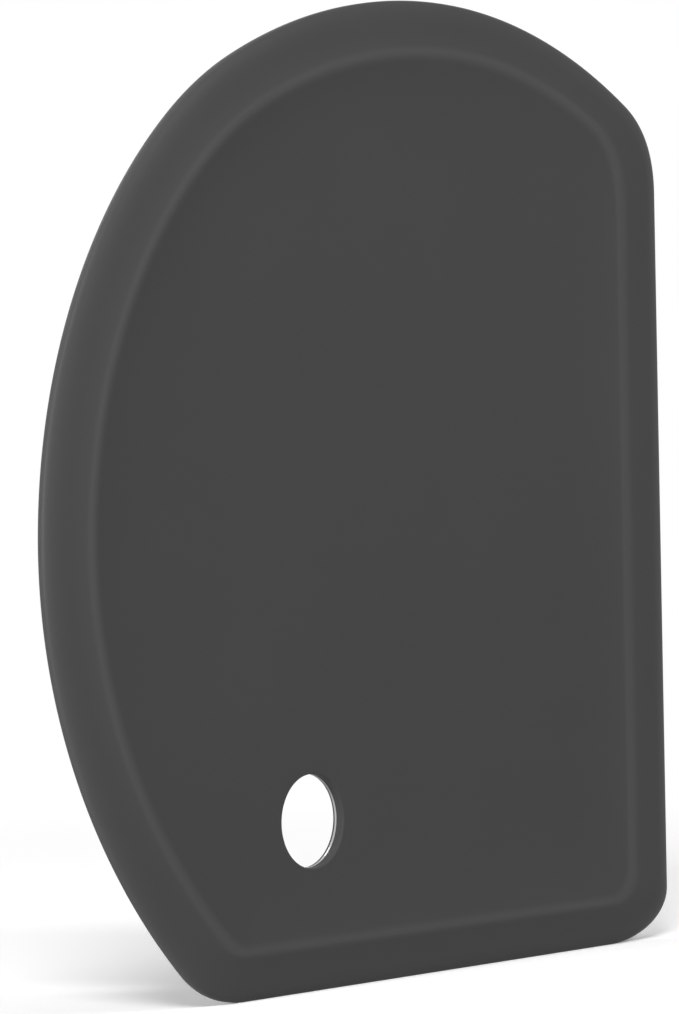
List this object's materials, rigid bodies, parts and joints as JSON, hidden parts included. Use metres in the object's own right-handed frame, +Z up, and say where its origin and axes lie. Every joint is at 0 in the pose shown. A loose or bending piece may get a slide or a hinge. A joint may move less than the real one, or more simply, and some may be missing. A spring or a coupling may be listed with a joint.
{
  "type": "bowl scraper",
  "caption": "Flexible D-shaped bowl scraper: a silicone blade with a raised crest and soft border, moulded over a perforated steel core, with a hang hole.",
  "frame": {"origin": "middle of the blade's box, on the surface that its straight foot edge stands on", "axes": "+X along the foot towards the long straight edge, +Y from the front face to the back face, +Z up"},
  "size_m": [0.1266, 0.0038, 0.1296],
  "materials": {
    "silicone": "matt, dark grey silicone",
    "spring_steel": "plain rolled sheet"
  },
  "bodies": {
    "root": {"silicone_body": "silicone", "core_plate": "spring_steel"}
  },
  "joints": []
}
